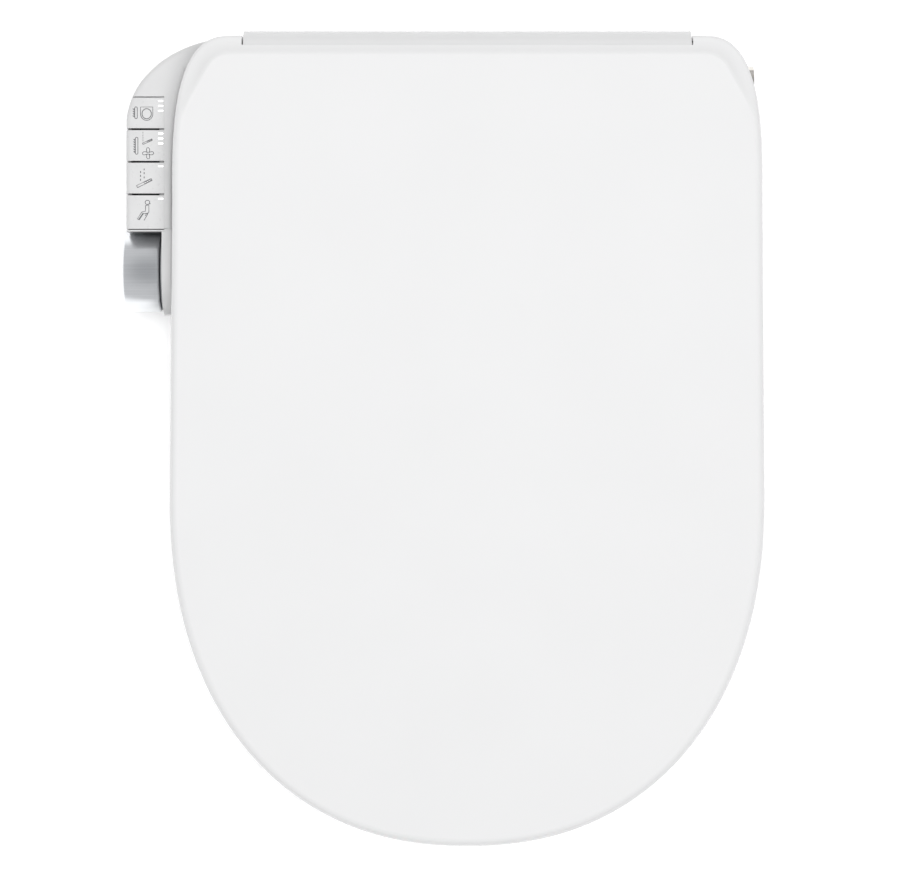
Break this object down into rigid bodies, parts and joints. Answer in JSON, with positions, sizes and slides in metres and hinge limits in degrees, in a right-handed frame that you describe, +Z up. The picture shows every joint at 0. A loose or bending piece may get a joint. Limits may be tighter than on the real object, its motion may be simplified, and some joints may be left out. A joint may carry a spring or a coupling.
{
  "type": "electric bidet seat",
  "caption": "Electric bidet seat for a D-shaped bowl: soft-close lid and heated seat on one hinge line, side control arm with keys and dial, sliding wash nozzles and warm-air dryer.",
  "frame": {"origin": "midway between the two fixing slots, on the bowl's rim plane", "axes": "+Y towards the cistern (the back of the seat), -Y towards the front tip, +Z up, +X towards the water inlet side; the control arm is on the -X side, at the user's right hand"},
  "size_m": [0.4084, 0.5173, 0.0998],
  "materials": {
    "base_grey": "fine moulded texture",
    "housing_white": "polished mould",
    "rubber_grey": "matt",
    "steel": "plain drawn",
    "key_white": "polished mould",
    "circuit_green": "solder-resist",
    "dial_metal": "brushed round the axis",
    "dark_plastic": "fine moulded texture",
    "lid_white": "polished mould",
    "seat_white": "polished mould",
    "heater_foil": "foil",
    "brass_plated": "nickel plated",
    "filter_blue": "moulded",
    "moulded_white": "moulded",
    "copper_coil": "taped winding",
    "ceramic_tan": "fired ceramic",
    "clear_tube": "translucent silicone",
    "nozzle_steel": "drawn tube",
    "nozzle_white": "polished mould",
    "core_steel": "varnished",
    "cable_rubber": "matt",
    "sensor_black": "smoked window",
    "lens_clear": "frosted lens"
  },
  "bodies": {
    "root": {"base_plate": "base_grey", "upper_cover": "housing_white", "mounting_plate": "base_grey", "base_feet": "rubber_grey", "casing_screws": "steel", "release_spring": "steel", "arm_upper_shell": "housing_white", "arm_lower_shell": "housing_white", "key_board": "circuit_green", "dial_bezel": "dark_plastic", "dial_encoder": "dark_plastic", "lid_damper": "dark_plastic", "seat_damper": "dark_plastic", "water_inlet": "brass_plated", "inlet_filter": "filter_blue", "valve_body": "moulded_white", "valve_coil": "copper_coil", "flow_sensor": "dark_plastic", "water_heater": "ceramic_tan", "water_tubes": "clear_tube", "nozzle_cradle": "moulded_white", "nozzle_motors": "steel", "blower_housing": "dark_plastic", "blower_motor": "steel", "air_duct": "moulded_white", "dryer_heater": "ceramic_tan", "main_board": "circuit_green", "power_supply": "core_steel", "cable_gland": "cable_rubber", "sensor_window": "sensor_black", "night_light": "lens_clear", "deodoriser": "moulded_white"},
    "seat": {"seat_upper_shell": "seat_white", "seat_lower_shell": "seat_white", "seat_heater": "heater_foil", "seat_thermal_cutout": "dark_plastic", "seat_bumpers": "rubber_grey", "seat_screws": "steel", "seat_shaft": "steel"},
    "lid": {"lid_shell": "lid_white", "lid_bumpers": "rubber_grey", "lid_shaft": "steel"},
    "dial": {"dial_ring": "dial_metal", "dial_cap": "dial_metal", "dial_shaft": "steel"},
    "key_one": {"key_1": "key_white"},
    "key_two": {"key_2": "key_white"},
    "key_three": {"key_3": "key_white"},
    "key_four": {"key_4": "key_white"},
    "button": {"release_button": "base_grey"},
    "rear_nozzle": {"rear_wand": "nozzle_steel", "rear_tip": "nozzle_white"},
    "front_nozzle": {"front_wand": "nozzle_steel", "front_tip": "nozzle_white"},
    "rear_drive": {"rear_pinion": "moulded_white"},
    "front_drive": {"front_pinion": "moulded_white"},
    "impeller": {"blower_impeller": "dark_plastic"},
    "flap": {"dryer_flap": "key_white"},
    "plunger": {"valve_plunger": "steel"},
    "turbine": {"flow_turbine": "filter_blue"}
  },
  "joints": [
    {"name": "seat_hinge", "type": "hinge", "parent": "root", "child": "seat", "pos_m": [0, 0.0315, 0.081], "axis": [1, 0, 0], "range_deg": [-100, 0]},
    {"name": "lid_hinge", "type": "hinge", "parent": "seat", "child": "lid", "pos_m": [0, 0.0315, 0.081], "axis": [-1, 0, 0], "range_deg": [0, 105]},
    {"name": "dial_turn", "type": "hinge", "parent": "root", "child": "dial", "pos_m": [-0.2075, -0.1027, 0.034], "axis": [1, 0, 0], "range_deg": [-150, 150]},
    {"name": "key_one_rock", "type": "hinge", "parent": "root", "child": "key_one", "pos_m": [-0.1932, -0.065, 0.0595], "axis": [0, -1, 0], "range_deg": [0, 1.6], "stiffness_Nm_per_rad": 1.5},
    {"name": "key_two_rock", "type": "hinge", "parent": "root", "child": "key_two", "pos_m": [-0.1932, -0.0442, 0.0595], "axis": [0, -1, 0], "range_deg": [0, 1.6], "stiffness_Nm_per_rad": 1.5},
    {"name": "key_three_rock", "type": "hinge", "parent": "root", "child": "key_three", "pos_m": [-0.1932, -0.0234, 0.0595], "axis": [0, -1, 0], "range_deg": [0, 1.6], "stiffness_Nm_per_rad": 1.5},
    {"name": "key_four_rock", "type": "hinge", "parent": "root", "child": "key_four", "pos_m": [-0.1932, -0.0026, 0.0595], "axis": [0, -1, 0], "range_deg": [0, 1.6], "stiffness_Nm_per_rad": 1.5},
    {"name": "rear_nozzle_slide", "type": "slide", "parent": "root", "child": "rear_nozzle", "axis": [0, -0.8829, -0.4695], "range_m": [0, 0.088]},
    {"name": "rear_pinion_spin", "type": "hinge", "parent": "root", "child": "rear_drive", "pos_m": [-0.011, -0.06075, 0.03994], "axis": [1, 0, 0], "range_deg": [-845, 0]},
    {"name": "front_nozzle_slide", "type": "slide", "parent": "root", "child": "front_nozzle", "axis": [0, -0.8829, -0.4695], "range_m": [0, 0.088]},
    {"name": "front_pinion_spin", "type": "hinge", "parent": "root", "child": "front_drive", "pos_m": [0.011, -0.06075, 0.03994], "axis": [1, 0, 0], "range_deg": [-845, 0]},
    {"name": "impeller_spin", "type": "hinge", "parent": "root", "child": "impeller", "pos_m": [-0.075, 0.002, 0.02], "axis": [0, 0, 1], "continuous": true},
    {"name": "flap_swing", "type": "hinge", "parent": "root", "child": "flap", "pos_m": [-0.083, -0.0738, 0.0136], "axis": [-1, 0, 0], "range_deg": [0, 70]},
    {"name": "button_press", "type": "slide", "parent": "root", "child": "button", "axis": [-1, 0, 0], "range_m": [0, 0.004], "stiffness_N_per_m": 600, "deforming": ["release_spring"]},
    {"name": "plunger_lift", "type": "slide", "parent": "root", "child": "plunger", "axis": [0, 0, 1], "range_m": [0, 0.002], "stiffness_N_per_m": 150},
    {"name": "turbine_spin", "type": "hinge", "parent": "root", "child": "turbine", "pos_m": [0.062, 0.02, 0.025], "axis": [0, 1, 0], "continuous": true}
  ],
  "couplings": [
    {"joint": "rear_pinion_spin", "follows": "rear_nozzle_slide", "rad_per_m": -166.67},
    {"joint": "front_pinion_spin", "follows": "front_nozzle_slide", "rad_per_m": -166.67}
  ]
}
